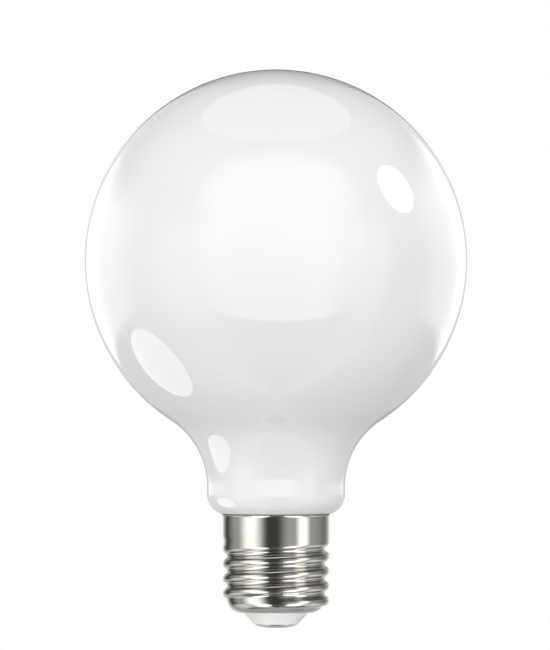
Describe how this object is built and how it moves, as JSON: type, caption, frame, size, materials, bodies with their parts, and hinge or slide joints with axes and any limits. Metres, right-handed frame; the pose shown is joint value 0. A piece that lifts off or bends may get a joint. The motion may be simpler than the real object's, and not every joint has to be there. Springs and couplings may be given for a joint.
{
  "type": "globe bulb",
  "caption": "Globe lamp with an opal glass ball on a curved neck, a rolled screw cap, a white insulator and a domed centre contact.",
  "frame": {"origin": "middle of the centre contact's flat, at the very end of the cap", "axes": "+Z along the lamp's axis from the contact to the ball, +X to the right in the picture and +Y away from the camera"},
  "size_m": [0.095, 0.095, 0.1387],
  "materials": {
    "opal_glass": "gloss",
    "nickel_plate": "polished",
    "contact_metal": "satin",
    "white_plastic": "satin",
    "cement": "matte",
    "board_laminate": "satin",
    "can_aluminium": "satin",
    "ferrite": "matte",
    "copper_wire": "gloss",
    "resistor_coating": "satin",
    "black_moulding": "matte",
    "tinned_wire": "satin"
  },
  "bodies": {
    "root": {"glass_globe": "opal_glass", "screw_shell": "nickel_plate", "insulator": "white_plastic", "centre_contact": "contact_metal", "cap_cement": "cement", "driver_board": "board_laminate", "smoothing_capacitor": "can_aluminium", "choke_core": "ferrite", "choke_winding": "copper_wire", "fuse_resistor": "resistor_coating", "driver_chip": "black_moulding", "bridge_rectifier": "black_moulding", "stem_lead_left": "tinned_wire", "stem_lead_right": "tinned_wire", "contact_wire": "tinned_wire", "shell_wire": "tinned_wire"}
  },
  "joints": []
}
